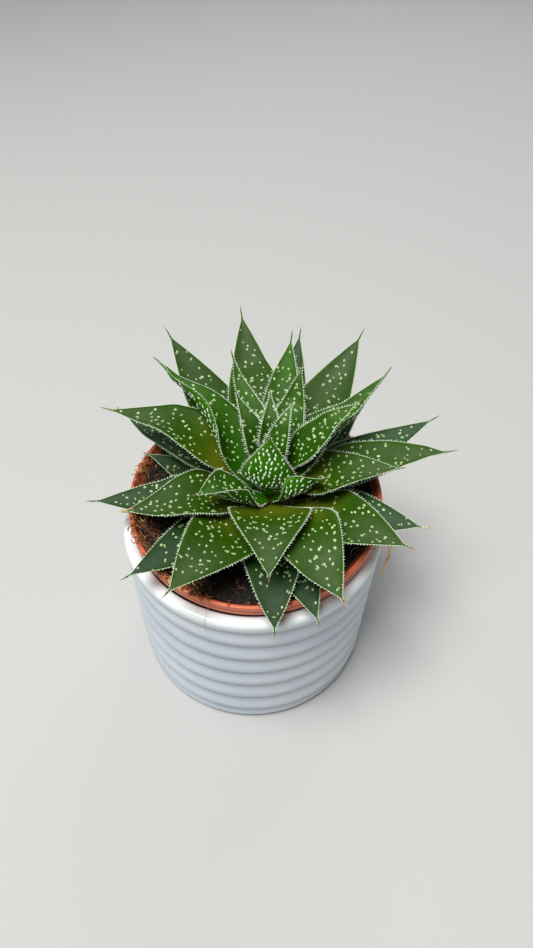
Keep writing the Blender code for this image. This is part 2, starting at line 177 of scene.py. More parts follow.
def cachepot_profile():
    """The section of the cachepot, from the top of its lip down the ribs, under the foot and up inside."""
    slope = (POT_TOP_RADIUS - RIB_DEPTH * 0.5 - POT_FOOT_RADIUS) / POT_HEIGHT
    outer = [(POT_TOP_RADIUS - POT_LIP / 2, POT_HEIGHT)]
    outer += rounded_edge(POT_TOP_RADIUS, POT_HEIGHT, LIP_ROUND, range(85, -1, -10))
    outer += [(POT_TOP_RADIUS - 0.05 * MM, RIB_TOP + 3.0 * MM),
              (POT_TOP_RADIUS - 0.25 * MM, RIB_TOP + 1.4 * MM)]
    height = RIB_TOP
    while height > RIB_FOOT:
        wall = POT_FOOT_RADIUS + slope * height - RIB_DEPTH * 0.5
        outer.append((wall + rib_swell(height), height))
        height -= RIB_STEP
    foot = [(POT_FOOT_RADIUS - 0.4 * MM, 1.6 * MM), (POT_FOOT_RADIUS - 0.9 * MM, 0.5 * MM),
            (POT_FOOT_RADIUS - 1.8 * MM, 0.0), (0.0, 0.0)]
    lip_inside = POT_TOP_RADIUS - POT_LIP
    inner = [(0.0, POT_FLOOR), (INNER_FOOT_RADIUS - 5.0 * MM, POT_FLOOR),
             (INNER_FOOT_RADIUS - 1.2 * MM, POT_FLOOR + 1.6 * MM), (INNER_FOOT_RADIUS, POT_FLOOR + 6.0 * MM),
             (lip_inside, POT_HEIGHT - LIP_ROUND)]
    return outer + foot + inner + rounded_edge(lip_inside, POT_HEIGHT, LIP_ROUND, range(15, 90, 15), -1.0)


def rib_phase(radius, height):
    """How far down its rib a point of the wall lies, from 0 to 1, and 0.5 off the ribs."""
    down = (RIB_TOP - height) / RIB_PITCH
    on_wall = radius > POT_FOOT_RADIUS - 2.5 * MM and 0.0 < down < RIBS_END
    return down % 1.0 if on_wall else 0.5


def wandering(x, y, z):
    """Lets the ribs rise and fall a little round the wall, as thrown ones do."""
    if math.hypot(x, y) < POT_FOOT_RADIUS - 1.0 * MM or not WANDER_FOOT < z < WANDER_TOP:
        return (x, y, z)
    turn = math.atan2(y, x)
    fade = min(1.0, (z - WANDER_FOOT) / (10.0 * MM), (WANDER_TOP - z) / (8.0 * MM))
    wander = math.sin(turn + z * 60.0) + 0.6 * math.sin(2.0 * turn - z * 95.0 + 1.0)
    return (x, y, z + RIB_WAVE * fade * wander)


def node(tree, kind, inputs=None, **settings):
    """A shader node with its settings, and its inputs set to values or joined to other nodes' outputs."""
    made = tree.nodes.new(kind)
    for key, value in settings.items():
        setattr(made, key, value)
    for key, value in (inputs or {}).items():
        if isinstance(value, bpy.types.NodeSocket):
            tree.links.new(value, made.inputs[key])
        else:
            made.inputs[key].default_value = value
    return made


def srgb(red, green, blue):
    """A colour as it is seen, 0 to 255, as the linear colour that a shader takes."""
    linear = []
    for value in (red, green, blue):
        share = value / 255
        linear.append(share / 12.92 if share <= 0.04045 else ((share + 0.055) / 1.055) ** 2.4)
    return (*linear, 1.0)


def mix(tree, share, first, second, how="MIX"):
    made = node(tree, "ShaderNodeMix", {0: share, 6: first, 7: second}, data_type="RGBA", blend_type=how)
    return made.outputs[2]


def ramp(tree, value, low, high, start=0.0, end=1.0):
    """A value that runs from start to end while another runs from low to high."""
    return node(tree, "ShaderNodeMapRange", {"Value": value, "From Min": low, "From Max": high,
                                             "To Min": start, "To Max": end}).outputs[0]


def maths(tree, how, *values):
    return node(tree, "ShaderNodeMath", dict(enumerate(values)), operation=how).outputs[0]


def grain(tree, coordinates, scale, detail=3.0, fineness=0.55, stretch=(1.0, 1.0, 1.0)):
    """A soft random pattern, from 0 to 1, that changes over the surface."""
    place = node(tree, "ShaderNodeMapping", {"Vector": coordinates, "Scale": stretch}).outputs[0]
    return node(tree, "ShaderNodeTexNoise", {"Vector": place, "Scale": scale, "Detail": detail,
                                             "Roughness": fineness}).outputs[0]


def new_material(name, **values):
    made = bpy.data.materials.new(name)
    made.use_nodes = True
    shader = made.node_tree.nodes["Principled BSDF"]
    for key, value in values.items():
        shader.inputs[key.replace("_", " ")].default_value = value
    return made, made.node_tree, shader


def bump(tree, shader, height, strength, distance):
    made = node(tree, "ShaderNodeBump", {"Height": height, "Strength": strength, "Distance": distance})
    tree.links.new(made.outputs[0], shader.inputs["Normal"])


def new_group(name, takes, gives):
    """An empty node group with named inputs and outputs: the group, what goes in and what comes out."""
    made = bpy.data.node_groups.new(name, "ShaderNodeTree")
    for label, kind in takes.items():
        made.interface.new_socket(label, in_out="INPUT", socket_type="NodeSocket" + kind)
    for label, kind in gives.items():
        made.interface.new_socket(label, in_out="OUTPUT", socket_type="NodeSocket" + kind)
    return made, made.nodes.new("NodeGroupInput").outputs, made.nodes.new("NodeGroupOutput").inputs


# Mottled tone: a colour that drifts between two tones. Every finish of the pots, the soil and the plant uses
# it, but for the leaves' own green.
mottling, takes, gives = new_group(
    "Mottled tone",
    {"Scale": "Float", "Detail": "Float", "Fineness": "Float", "Stretch": "Vector", "Low": "Color",
     "High": "Color", "From": "Float", "To": "Float"},
    {"Colour": "Color", "Grain": "Float"})
where = node(mottling, "ShaderNodeTexCoord").outputs["Object"]
cloud = grain(mottling, where, takes["Scale"], takes["Detail"], takes["Fineness"], takes["Stretch"])
share = ramp(mottling, cloud, takes["From"], takes["To"])
mottling.links.new(mix(mottling, share, takes["Low"], takes["High"]), gives["Colour"])
mottling.links.new(cloud, gives["Grain"])


def mottled(tree, tones, scale, detail=3.0, fineness=0.55, stretch=(1.0, 1.0, 1.0), spread=(0.35, 0.65)):
    """Places the mottled tone in a finish, and gives its colour and its grain."""
    low, high = tones
    made = node(tree, "ShaderNodeGroup", {
        "Scale": scale, "Detail": detail, "Fineness": fineness, "Stretch": stretch, "Low": srgb(*low),
        "High": srgb(*high), "From": spread[0], "To": spread[1]}, node_tree=mottling)
    return made.outputs["Colour"], made.outputs["Grain"]


glaze, tree, shader = new_material("white_glaze", Roughness=0.3, Coat_Weight=0.25, Coat_Roughness=0.15)
body_colour, drift = mottled(tree, GLAZE_TONES, 22.0)
where = node(tree, "ShaderNodeTexCoord").outputs["Object"]
height = node(tree, "ShaderNodeSeparateXYZ", {"Vector": where}).outputs["Z"]
# Painted highlight: the glaze is made whiter up the rounded lip, by height.
lip_highlight = ramp(tree, height, LIP_HIGHLIGHT_FROM, LIP_HIGHLIGHT_FULL)
highlit_colour = mix(tree, lip_highlight, body_colour, srgb(*LIP_HIGHLIGHT_TONE))
place = node(tree, "ShaderNodeUVMap", uv_map="place").outputs[0]
down_rib = node(tree, "ShaderNodeSeparateXYZ", {"Vector": place}).outputs["Y"]
# Painted shade: grey where the wall turns in at each groove, and a lighter grey down the lower half of each
# rib.
groove_shade = maths(tree, "MAXIMUM", ramp(tree, down_rib, 0.8, 0.99), ramp(tree, down_rib, 0.15, 0.0))
painted_rib_shade = maths(tree, "MULTIPLY_ADD", groove_shade, 0.6, ramp(tree, down_rib, 0.5, 0.95, 0.0, 0.4))
tree.links.new(mix(tree, painted_rib_shade, highlit_colour, srgb(*RIB_SHADE_TONE)), shader.inputs["Base Color"])
fine = grain(tree, where, 900.0)
tree.links.new(ramp(tree, fine, 0.3, 0.7, 0.26, 0.34), shader.inputs["Roughness"])
bump(tree, shader, drift, 0.1, 0.0008)

profile = cachepot_profile()
# The rib phases tell the glaze where to paint the shade down each rib.
phases = [rib_phase(radius, height) for radius, height in profile]
show("glazed_cachepot", turned(profile, POT_SIDES, wandering, phases), [glaze], "white_glaze", "cachepot")


# The growing pot is thin terracotta-coloured polypropylene, moulded in one piece with a rolled rim and a
# grooved band. It stands tilted in the cachepot, so its rim shows all round, with patches of smeared peat.
RIM_RADIUS = 59.3 * MM
RIM_ROLL = 0.8 * MM
RIM_BAND = 5.8 * MM
RIM_INSIDE = RIM_RADIUS - 2 * RIM_ROLL
GROWING_WALL_RADIUS = 55.7 * MM
GROWING_FOOT_RADIUS = 40.0 * MM
GROWING_DEPTH = 94.0 * MM
GROWING_WALL = 1.6 * MM
GROWING_SIDES = 128
RIM_CENTRE = Vector((1.0 * MM, 0.0, 105.3 * MM))
TILT = Matrix.Translation(RIM_CENTRE) @ Matrix.Rotation(math.radians(-1.0), 4, "Y") @ Matrix.Rotation(
    math.radians(7.7), 4, "X")
TERRACOTTA_TONES = ((196, 92, 58), (210, 108, 72))
SMEAR_TONE = (120, 72, 46)

plastic, tree, shader = new_material("terracotta_plastic", Roughness=0.38, Subsurface_Weight=0.08,
                                     Subsurface_Scale=0.002)
moulded, _ = mottled(tree, TERRACOTTA_TONES, 35.0, spread=(0.3, 0.7))
where = node(tree, "ShaderNodeTexCoord").outputs["Object"]
smears = ramp(tree, grain(tree, where, 160.0, 5.0, 0.6), 0.58, 0.78, 0.0, 0.45)
tree.links.new(mix(tree, smears, moulded, srgb(*SMEAR_TONE)), shader.inputs["Base Color"])
scuff = grain(tree, where, 700.0, 5.0, 0.6, (1.0, 1.0, 6.0))
tree.links.new(ramp(tree, scuff, 0.3, 0.7, 0.3, 0.5), shader.inputs["Roughness"])
bump(tree, shader, scuff, 0.15, 0.0003)

profile = [(RIM_INSIDE, 0.0)] + rounded_edge(RIM_RADIUS, 0.0, RIM_ROLL, (80, 60, 40, 20, 0)) + [
    (RIM_RADIUS - 0.05 * MM, -2.3 * MM),
    (RIM_RADIUS - 0.25 * MM, -2.6 * MM),
    (RIM_RADIUS - 0.6 * MM, -2.9 * MM),
    (RIM_RADIUS - 0.25 * MM, -3.2 * MM),
    (RIM_RADIUS - 0.05 * MM, -3.5 * MM),
    (RIM_RADIUS - 0.1 * MM, -RIM_BAND + 0.3 * MM),
    (RIM_RADIUS - 0.4 * MM, -RIM_BAND),
    (RIM_RADIUS - 1.0 * MM, -RIM_BAND - 0.3 * MM),
    (GROWING_WALL_RADIUS, -RIM_BAND - 0.3 * MM),
    (GROWING_WALL_RADIUS - 0.4 * MM, -RIM_BAND - 1.6 * MM),
    (GROWING_FOOT_RADIUS, -GROWING_DEPTH + 1.0 * MM),
    (GROWING_FOOT_RADIUS - 1.0 * MM, -GROWING_DEPTH),
    (0.0, -GROWING_DEPTH),
    (0.0, -GROWING_DEPTH + GROWING_WALL),
    (GROWING_FOOT_RADIUS - GROWING_WALL, -GROWING_DEPTH + GROWING_WALL),
    (GROWING_WALL_RADIUS - GROWING_WALL, -RIM_BAND),
    (RIM_INSIDE - 0.7 * MM, -1.6 * MM),
    (RIM_INSIDE - 0.5 * MM, -RIM_ROLL),
    (RIM_INSIDE - 0.3 * MM, -0.3 * MM),
]
growing_pot = turned(profile, GROWING_SIDES, lambda x, y, z: TILT @ Vector((x, y, z)))
show("growing_pot", growing_pot, [plastic], "terracotta_plastic", "nursery_pot")


# The soil is dark peat and coir, filled to a little under the rim and dished round the plant. It is one
# rough surface with loose crumbs on it, and brown coir fibres lie over it and over the rim on the left.
SOIL_DROP = 8.0 * MM
SOIL_EDGE_DROP = 3.6 * MM
SOIL_EDGE = 55.2 * MM
SOIL_HOLE = 9.0 * MM
SOIL_UNDERSIDE = ((6.2 * MM, SOIL_EDGE - 1.7 * MM), (86.0 * MM, 38.0 * MM), (86.0 * MM, SOIL_HOLE))
SOIL_SIDES = 240
SOIL_ROWS = 64
LUMP_SCALE = 240.0
LUMP_SINK = 0.25 * MM
PEAT_TONES = ((9, 9, 8), (40, 33, 27))
WARM_PEAT = (70, 48, 30)

peat, tree, shader = new_material("peat", Roughness=0.95)
dark, lumps = mottled(tree, PEAT_TONES, 420.0, 6.0, 0.65, spread=(0.4, 0.68))
tint = grain(tree, node(tree, "ShaderNodeTexCoord").outputs["Object"], 130.0)
warm = mix(tree, ramp(tree, tint, 0.54, 0.76, 0.0, 0.45), dark, srgb(*WARM_PEAT))
tree.links.new(warm, shader.inputs["Base Color"])
bump(tree, shader, lumps, 0.9, 0.0012)


def soil_height(x, y):
    """The height of the lumpy soil, from the middle of the rim and square to it."""
    rise = (SOIL_DROP - SOIL_EDGE_DROP) * (math.hypot(x, y) / SOIL_EDGE) ** 3
    place = Vector((x * LUMP_SCALE, y * LUMP_SCALE, 3.0))
    lump = noise.fractal(place, 1.0, 2.0, 5) * 0.55 + noise.noise(place * 0.35) * 0.5
    return -SOIL_DROP + rise + lump * MM - LUMP_SINK


def band(near, far, sides):
    """The faces between two rings of points, numbered from near and from far."""
    faces = []
    for side in range(sides):
        after = (side + 1) % sides
        faces.append((near + side, far + side, far + after, near + after))
    return faces


rings = [(None, SOIL_HOLE + (SOIL_EDGE - SOIL_HOLE) * row / SOIL_ROWS) for row in range(SOIL_ROWS + 1)]
rings += SOIL_UNDERSIDE
points = []
faces = []
for ring, (depth, radius) in enumerate(rings):
    for side in range(SOIL_SIDES):
        turn = 2 * math.pi * side / SOIL_SIDES
        x = radius * math.cos(turn)
        y = radius * math.sin(turn)
        points.append(TILT @ Vector((x, y, soil_height(x, y) if depth is None else -depth)))
    faces += band(ring * SOIL_SIDES, (ring + 1) % len(rings) * SOIL_SIDES, SOIL_SIDES)
soil = Shape()
soil.add(points, faces)
show("peat_surface", soil, [peat], "peat", "soil")

# The crumbs are rough six-sided balls, squashed and turned by chance, most of them as dark as the soil.
CRUMBS = 1500
CRUMB_TONES = (((10, 9, 8), (34, 28, 23)), ((42, 31, 22), (82, 58, 38)))
DARK_CRUMBS = 0.82
BALL_SIDES = 6
BALL_ROWS = 4

crumb_finishes = []
for number, tones in enumerate(CRUMB_TONES, start=1):
    finish, tree, shader = new_material(f"crumb_{number}", Roughness=0.95)
    colour, speck = mottled(tree, tones, 900.0, 4.0, 0.65)
    tree.links.new(colour, shader.inputs["Base Color"])
    bump(tree, shader, speck, 0.7, 0.0004)
    crumb_finishes.append(finish)

ball = []
for row in range(1, BALL_ROWS):
    down = math.pi * row / BALL_ROWS
    for side in range(BALL_SIDES):
        turn = 2 * math.pi * (side + 0.5 * row) / BALL_SIDES
        out = math.sin(down)
        ball.append(Vector((out * math.cos(turn), out * math.sin(turn), math.cos(down))))
top = len(ball)
last_row = top - BALL_SIDES
ball += [Vector((0.0, 0.0, 1.0)), Vector((0.0, 0.0, -1.0))]
ball_faces = []
for side in range(BALL_SIDES):
    after = (side + 1) % BALL_SIDES
    ball_faces += [(side, after, top), (top + 1, last_row + after, last_row + side)]
    for row in range(0, last_row, BALL_SIDES):
        below = row + BALL_SIDES
        ball_faces += [(row + side, below + side, row + after), (row + after, below + side, below + after)]

draw = random.Random(11)
crumbs = Shape()
for _ in range(CRUMBS):
    turn = draw.uniform(0.0, 2 * math.pi)
    radius = SOIL_EDGE * math.sqrt(draw.uniform(0.06, 0.97))
    x = radius * math.cos(turn)
    y = radius * math.sin(turn)
    size = draw.uniform(0.35, 1.0) * MM * (1.5 if draw.random() < 0.12 else 1.0)
    grow = Vector((draw.uniform(0.6, 1.3), draw.uniform(0.6, 1.3), draw.uniform(0.5, 0.9))) * size
    spin = Matrix.Rotation(draw.uniform(0.0, 6.2), 3, "Z")
    centre = Vector((x, y, soil_height(x, y) + 0.3 * size))
    rough = [TILT @ (centre + spin @ (point * grow) * draw.uniform(0.75, 1.15)) for point in ball]
    crumbs.add(rough, ball_faces, None, 0 if draw.random() < DARK_CRUMBS else 1)
show("peat_crumbs", crumbs, crumb_finishes, "peat", smooth=False)

# The fibres are bent strands of coir, from tan to dark brown, most of them loose along the rim on the left.
FIBRE_TONES = (((150, 84, 40), (196, 122, 64)), ((96, 58, 32), (140, 90, 50)),
               ((190, 150, 92), (226, 192, 134)))
FIBRE_STEPS = 7
FIBRE_CLEAR = 0.3 * MM
FIBRE_GROUND = SOIL_EDGE - 1.0 * MM
FIBRE_REACH = RIM_RADIUS + 1.5 * MM
STRAW = 2
UP = Vector((0.0, 0.0, 1.0))

fibre_finishes = []
for number, tones in enumerate(FIBRE_TONES, start=1):
    finish, tree, shader = new_material(f"coir_{number}", Roughness=0.7)
    tree.links.new(mottled(tree, tones, 500.0)[0], shader.inputs["Base Color"])
    fibre_finishes.append(finish)


def rod(shape, path, radii, sides, slot):
    """A closed round rod along a path, with a radius for each point of it."""
    points = []
    places = []
    faces = []
    last = len(path) - 1
    for step, point in enumerate(path):
        along = (path[min(last, step + 1)] - path[max(0, step - 1)]).normalized()
        across = along.cross(UP if abs(along.z) < 0.9 else Vector((1.0, 0.0, 0.0))).normalized()
        lift = across.cross(along)
        for side in range(sides):
            turn = 2 * math.pi * side / sides
            points.append(point + (across * math.cos(turn) + lift * math.sin(turn)) * radii[step])
            places.append((side / sides, step / last))
    for step in range(last):
        faces += band(step * sides, (step + 1) * sides, sides)
    faces.append(tuple(range(sides)))
    faces.append(tuple(last * sides + side for side in reversed(range(sides))))
    shape.add(points, faces, places, slot)


def fibre(shape, x, y, lie, length, thick, tone, spring):
    """One bent coir fibre lying on the soil or over the rim, with its middle sprung up."""
    path = []
    radii = []
    turn = lie
    place = Vector((x, y, 0.0))
    bend = draw.uniform(-0.3, 0.3)
    for step in range(FIBRE_STEPS + 1):
        radius = math.hypot(place.x, place.y)
        ground = soil_height(place.x, place.y)
        if radius >= FIBRE_GROUND:
            ground = min(0.5 * MM, -SOIL_EDGE_DROP + (radius - FIBRE_GROUND) * 1.3)
        share = step / FIBRE_STEPS
        lift = FIBRE_CLEAR + spring * math.sin(math.pi * min(1.0, share * 0.9)) * length
        path.append(TILT @ Vector((place.x, place.y, ground + lift)))
        radii.append(thick * (1.0 - 0.6 * abs(2 * share - 1.0) ** 3))
        turn += bend + draw.uniform(-0.28, 0.28)
        place += Vector((math.cos(turn), math.sin(turn), 0.0)) * (length / FIBRE_STEPS)
        if place.length > FIBRE_REACH:
            place *= FIBRE_REACH / place.length
    rod(shape, path, radii, 4, tone)


# Where fibres gather: the way round, how far out, how wide the tuft is, and how many.
FIBRE_TUFTS = [
    (184, 54, 5, 34), (197, 54, 7, 60), (207, 58, 3, 22), (210, 51, 8, 60), (224, 54, 7, 80),
    (234, 58, 4, 60), (243, 58, 5, 70), (159, 58, 4, 20), (167, 58, 4, 26), (172, 50, 8, 16),
    (258, 51, 9, 12), (285, 52, 9, 7), (276, 56, 8, 14), (332, 55, 5, 12), (20, 48, 14, 8),
    (90, 45, 25, 20),
]
# Single strands that hang over the rim and the lip: where they run, and how thick they are along it.
LOOSE_STRANDS = [
    (((50, -16, 102), (57.5, -19, 104.4), (62, -22, 101.5), (62.5, -26, 94.5), (59.6, -30, 86)),
     (0.3, 0.45, 0.55, 0.6, 0.5)),
    (((57, -14, 104.2), (62, -16, 103), (65, -18, 99.5)), (0.25, 0.3, 0.2)),
    (((-17, -54, 98.5), (-18.2, -56.5, 92.5), (-19, -60.2, 90.2), (-18.8, -61.3, 87), (-18.3, -61.2, 83.6)),
     (0.1, 0.09, 0.09, 0.08, 0.06)),
]
fibres = Shape()
for turn, out, wide, many in FIBRE_TUFTS:
    for _ in range(many):
        angle = math.radians(turn + draw.gauss(0.0, wide * 0.7))
        radius = min(57.0, out + draw.gauss(0.0, 4.0)) * MM
        lie = draw.uniform(0.0, 6.28)
        length = draw.uniform(2.0, 7.5 if out < 56 else 5.0) * MM
        thick = draw.uniform(0.1, 0.32) * MM
        tone = draw.choice((0, 0, 1, 1, 1, 2)) if out > 52 else 1
        spring = draw.uniform(0.02, 0.2)
        fibre(fibres, radius * math.cos(angle), radius * math.sin(angle), lie, length, thick, tone, spring)
for path, radii in LOOSE_STRANDS:
    rod(fibres, [Vector(point) * MM for point in path], [radius * MM for radius in radii], 6, STRAW)
show("coir_fibres", fibres, fibre_finishes, "peat")


# The crown is the head of the plant's short stem, where the sheaths of its leaves are fused. It is dull
# green and mostly hidden, and its stem stands in the soil.
PLANT_OFFSET = 7.0 * MM
PLANT = TILT @ Matrix.Translation((PLANT_OFFSET, 0.0, -SOIL_DROP))
STEM_FOOT_RADIUS = 6.0 * MM
STEM_ROOT = 14.0 * MM
CROWN_RADIUS = 12.0 * MM
CROWN_TOP_RADIUS = 5.0 * MM
CROWN_TOP = 16.5 * MM
CROWN_SHOULDER = CROWN_TOP - 0.6 * MM
CROWN_FALL = CROWN_TOP - 2.2 * MM
CROWN_STEPS = 12
CROWN_SIDES = 48
SHEATH_TONES = ((54, 62, 30), (92, 100, 52))

sheath, tree, shader = new_material("fused_sheaths", Roughness=0.55, Subsurface_Weight=0.1,
                                    Subsurface_Scale=0.002)
colour, streak = mottled(tree, SHEATH_TONES, 160.0, 4.0, 0.6, (1.0, 1.0, 0.2), (0.3, 0.7))
tree.links.new(colour, shader.inputs["Base Color"])
bump(tree, shader, streak, 0.3, 0.0006)

profile = [(0.0, CROWN_TOP), (CROWN_TOP_RADIUS * 0.6, CROWN_TOP - 0.15 * MM),
           (CROWN_TOP_RADIUS, CROWN_SHOULDER)]
for step in range(1, CROWN_STEPS):
    share = step / CROWN_STEPS
    radius = CROWN_TOP_RADIUS + (CROWN_RADIUS - CROWN_TOP_RADIUS) * share
    profile.append((radius, CROWN_SHOULDER - CROWN_FALL * share))
profile += [(CROWN_RADIUS, 1.6 * MM), (CROWN_RADIUS - 0.6 * MM, 0.8 * MM), (STEM_FOOT_RADIUS, 0.4 * MM),
            (STEM_FOOT_RADIUS - 1.0 * MM, -STEM_ROOT), (0.0, -STEM_ROOT)]
crown = turned(profile, CROWN_SIDES, lambda x, y, z: PLANT @ Vector((x, y, z)))
show("crown", crown, [sheath], "stem_skin", "stem")


# The leaves are thick, hollow-topped blades that end in a dry awn. They grow from the lowest to the heart,
# each laid clear of those below it, with soft white teeth along a pale margin and raised pale spots on both
# sides.
FIRST_LEAF = 1.5 * MM
LEAF_STEP = 0.45 * MM
LEAF_GAP = 0.6 * MM
ROOT_GAP = 1.2 * MM
KNEE = 0.5
BASE_WIDTH = 0.22
TAPER = 1.4
AWN = 0.07
AWN_WIDTH = 0.9 * MM
CHEEK = 0.55
SPAN = 8.0 * MM
FINE = 6
SIDES = (-1.1, -1.0, -0.9, -0.75, -0.55, -0.35, -0.15, 0.0, 0.15, 0.35, 0.55, 0.75, 0.9, 1.0, 1.1)
LOOK_DOWN = 9.0 * MM
LOOK_UP = 24.0 * MM
BEND_SLOPE = 0.35
TOOTH_LENGTH = 1.4 * MM
LOWER_LEAVES = 12
SPREADING_LEAVES = 23

# Each leaf from the lowest to the heart: where its tip lies round the plant (0 is right, -90 is front), how
# far out and how high that is, how it rises at its root, its width, where it is widest in hundredths, its
# roll, how far its root is turned round the crown, and how deep its channel is in hundredths of its half
# width.
LEAVES = [
    (160, 67, 3, 2, 18, 40, 0, 0, 20),
    (-73, 72, 12, 10, 21, 42, 0, 0, 20),
    (-88, 75, 14, 12, 25, 42, 0, 0, 20),
    (-141, 80, 15, 12, 24, 42, 0, 0, 20),
    (-18, 74, 15, 12, 25, 42, 0, 0, 20),
    (-174, 85, 13, 8, 23, 42, 0, 0, 20),
    (144, 85, 13, 2, 18, 42, 0, 0, 20),
    (52, 84, 15, 6, 22, 40, 0, 0, 20),
    (108, 75, 14, 6, 23, 42, 0, 0, 20),
    (80, 84, 39, 21, 20, 40, 0, 0, 20),
    (151, 89, 21, 2, 22, 40, 4, 0, 20),
    (24, 89, 24, 8, 23, 40, -4, 0, 20),
    (-36, 73, 30, 25, 31, 38, 0, 0, 22),
    (-122, 78, 30, 24, 33, 38, 0, 0, 22),
    (-66, 75, 29, 24, 33, 38, 0, 0, 22),
    (-162, 70, 23, 16, 28, 38, 8, 0, 22),
    (12, 90, 19, 5, 25, 38, -6, 0, 22),
    (58, 85, 47, 24, 29, 38, 0, 0, 22),
    (128, 84, 52, 27, 27, 38, 0, 0, 22),
    (101, 84, 52, 25, 27, 38, 0, 0, 22),
    (-90, 60, 32, 28, 35, 30, 0, 0, 22),
    (158, 88, 28, 5, 27, 36, 12, 0, 30),
    (1, 61, 26, 8, 26, 34, -10, 0, 30),
    (-148, 39, 34, 10, 23, 52, 25, 48, 62),
    (-29, 28, 38, 4, 17, 44, -58, -57, 45),
    (82, 70, 48, 26, 18, 34, 0, 0, 24),
    (138, 75, 47, 21, 24, 34, 44, 70, 60),
    (38, 70, 49, 24, 21, 34, -28, -35, 55),
    (70, 41, 56, 43, 18, 30, 0, 0, 24),
    (112, 50, 56, 36, 13, 30, 8, 0, 24),
    (26, 44, 52, 36, 16, 36, 0, 0, 20),
    (-100, 0, 52, 80, 25, 34, 0, 0, 25),
    (124, 28, 54, 52, 12, 30, 0, 0, 20),
    (91, 28, 48, 49, 10, 30, 0, 0, 20),
    (63, 25, 43, 48, 11, 30, 0, 0, 20),
    (195, 5, 42, 80, 5, 30, 0, 0, 20),
]

# The greens of each ring of leaves, at the root, on the blade, towards the tip and underneath, and how rough
# the skin is.
LEAF_GREENS = {
    "leaf_lower": ((52, 76, 12), (36, 66, 26), (58, 80, 56), (56, 96, 22), 0.5),
    "leaf_spreading": ((88, 100, 14), (40, 74, 2), (64, 86, 46), (66, 118, 8), 0.48),
    "leaf_inner": ((34, 82, 0), (40, 80, 2), (62, 98, 36), (54, 112, 0), 0.48),
}
MARGIN_GREEN = (128, 160, 84)
AWN_TONE = (158, 112, 80)

# Leaf tissue, which the three greens use. It colours a blade from its root to its tip and from its midrib to
# its margin, with a mottled, faintly streaked skin and a dry awn. u runs from 0 to 1 on top and from 1 to 2
# underneath, and v from the root to the tip.
tissue, takes, gives = new_group(
    "Leaf tissue",
    {"Root": "Color", "Blade": "Color", "Outer": "Color", "Under": "Color", "Vary": "Float"},
    {"Colour": "Color", "Height": "Float"})
place = node(tissue, "ShaderNodeUVMap", uv_map="place").outputs[0]
split = node(tissue, "ShaderNodeSeparateXYZ", {"Vector": place})
u, v = split.outputs["X"], split.outputs["Y"]
where = node(tissue, "ShaderNodeTexCoord").outputs["Object"]
mottle = grain(tissue, where, 320.0, 5.0, 0.6)
cloud = grain(tissue, where, 55.0)
stripe = grain(tissue, place, 5.0, 3.0, 0.6, (9.0, 0.8, 1.0))
wobble = maths(tissue, "MULTIPLY_ADD", cloud, 0.28, v)
side = maths(tissue, "ABSOLUTE", maths(tissue, "MULTIPLY_ADD", maths(tissue, "FRACT", u), 2.0, -1.0))
near_root = ramp(tissue, wobble, 0.3, 0.56)
far_out = ramp(tissue, wobble, 0.58, 0.86)
within = ramp(tissue, side, 0.95, 0.35, 0.1, 1.0)
colour = mix(tissue, near_root, takes["Root"], takes["Blade"])
colour = mix(tissue, maths(tissue, "MULTIPLY", far_out, within), colour, takes["Outer"])
colour = mix(tissue, maths(tissue, "GREATER_THAN", u, 1.0), colour, takes["Under"])
streaks = maths(tissue, "ADD", mottle, maths(tissue, "MULTIPLY", stripe, 0.5))
# The green is scaled a little up and down by the random streaks and by each leaf's chance.
streak_tone = maths(tissue, "ADD", ramp(tissue, streaks, 0.5, 1.0, 0.84, 1.16), takes["Vary"])
grey = node(tissue, "ShaderNodeCombineColor", {"Red": streak_tone, "Green": streak_tone, "Blue": streak_tone}).outputs[0]
colour = mix(tissue, 1.0, colour, grey, "MULTIPLY")
colour = mix(tissue, ramp(tissue, side, 0.9, 1.0, 0.0, 0.3), colour, srgb(*MARGIN_GREEN))
dry = ramp(tissue, maths(tissue, "MULTIPLY_ADD", mottle, 0.03, v), 0.965, 0.99)
tissue.links.new(mix(tissue, dry, colour, srgb(*AWN_TONE)), gives["Colour"])
tissue.links.new(maths(tissue, "ADD", mottle, maths(tissue, "MULTIPLY", stripe, 1.4)), gives["Height"])


def leaf_green(name, root, blade, outer, under, roughness):
    """The waxy skin of a leaf, in one of the plant's ages of green."""
    made, tree, shader = new_material(name, Roughness=roughness, Specular_IOR_Level=0.12,
                                      Subsurface_Weight=0.1, Subsurface_Scale=0.0012)
    chance = node(tree, "ShaderNodeObjectInfo").outputs["Random"]
    placed = node(tree, "ShaderNodeGroup", {
        "Root": srgb(*root), "Blade": srgb(*blade), "Outer": srgb(*outer), "Under": srgb(*under),
        "Vary": ramp(tree, chance, 0.0, 1.0, -0.1, 0.1)}, node_tree=tissue)
    tree.links.new(placed.outputs["Colour"], shader.inputs["Base Color"])
    bump(tree, shader, placed.outputs["Height"], 0.25, 0.0004)
    return made


leaf_skins = {name: leaf_green(name, *greens) for name, greens in LEAF_GREENS.items()}

# The pale finishes of every blade, in the order of its material slots after its own green.
GREEN_SKIN, TEETH, UPPER_SPOT, UNDER_SPOT, MARGIN_LINE, DRY_SKIN = range(6)
PALE_TONES = {
    "margin_teeth": ((204, 222, 190), (238, 246, 228)),
    "upper_spots": ((142, 170, 106), (194, 212, 158)),
    "under_spots": ((216, 234, 196), (246, 252, 236)),
    "margin_line": ((150, 178, 118), (204, 220, 180)),
    "dry_tissue": ((176, 128, 84), (228, 206, 160)),
}
pale_skins = []
for name, tones in PALE_TONES.items():
    finish, tree, shader = new_material(name, Roughness=0.5, Subsurface_Weight=0.2, Subsurface_Scale=0.0008)
    tree.links.new(mottled(tree, tones, 260.0, spread=(0.3, 0.7))[0], shader.inputs["Base Color"])
    pale_skins.append(finish)


